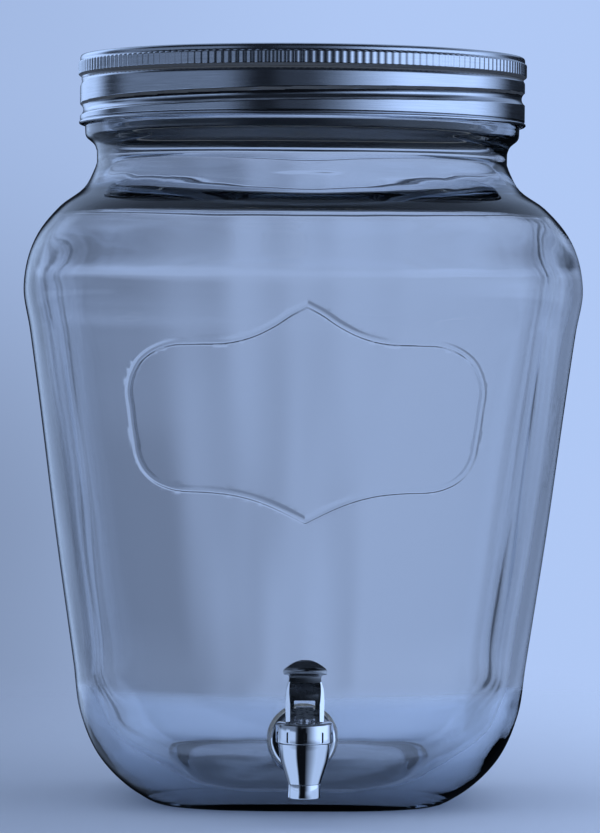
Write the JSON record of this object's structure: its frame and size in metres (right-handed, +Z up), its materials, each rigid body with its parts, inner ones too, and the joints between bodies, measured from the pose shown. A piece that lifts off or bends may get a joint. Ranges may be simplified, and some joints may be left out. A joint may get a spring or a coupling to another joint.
{
  "type": "kombucha brewing jar",
  "caption": "Square-shouldered clear glass brewing and serving jar with a pressed metal screw lid and a lever tap low on the front.",
  "frame": {"origin": "centre of the whole object's box, on the surface that the jar stands on", "axes": "+Z up along the jar's own axis, -Y towards the tap, +X to the right of the tap"},
  "size_m": [0.244, 0.2624, 0.329],
  "materials": {
    "glass": "clear pressed glass",
    "lid_metal": "satin tinplate",
    "liner": "matte",
    "chrome": "polished",
    "steel": "plain",
    "silicone": "matte"
  },
  "bodies": {
    "jar": {"glass_jar": "glass", "tap_body": "chrome", "tap_bonnet": "chrome", "bonnet_seal": "silicone", "outer_washer": "silicone", "inner_washer": "silicone", "shank_washer": "steel", "shank_nut": "steel", "closing_spring": "steel"},
    "lid_travel": {"lid_liner": "liner"},
    "lid": {"lid_shell": "lid_metal"},
    "valve": {"valve_stem": "steel", "seat_cup": "silicone", "lever_pin": "steel"},
    "lever": {"tap_lever": "chrome"}
  },
  "joints": [
    {"name": "lid_rise", "type": "slide", "parent": "jar", "child": "lid_travel", "axis": [0, 0, 1], "range_m": [0, 0.03125]},
    {"name": "lid_turn", "type": "hinge", "parent": "lid_travel", "child": "lid", "pos_m": [0, 0.00924, 0.3137], "axis": [0, 0, 1], "range_deg": [0, 901]},
    {"name": "stem_lift", "type": "slide", "parent": "jar", "child": "valve", "axis": [0, 0, 1], "range_m": [0, 0.00314], "stiffness_N_per_m": 1500, "springref_m": -0.003, "deforming": ["closing_spring"]},
    {"name": "lever_pull", "type": "hinge", "parent": "valve", "child": "lever", "pos_m": [0, -0.11924, 0.0477], "axis": [1, 0, 0], "range_deg": [0, 50]}
  ],
  "couplings": [
    {"joint": "lid_turn", "follows": "lid_rise", "rad_per_m": 502.65},
    {"joint": "lever_pull", "follows": "stem_lift", "rad_per_m": 277.78}
  ]
}
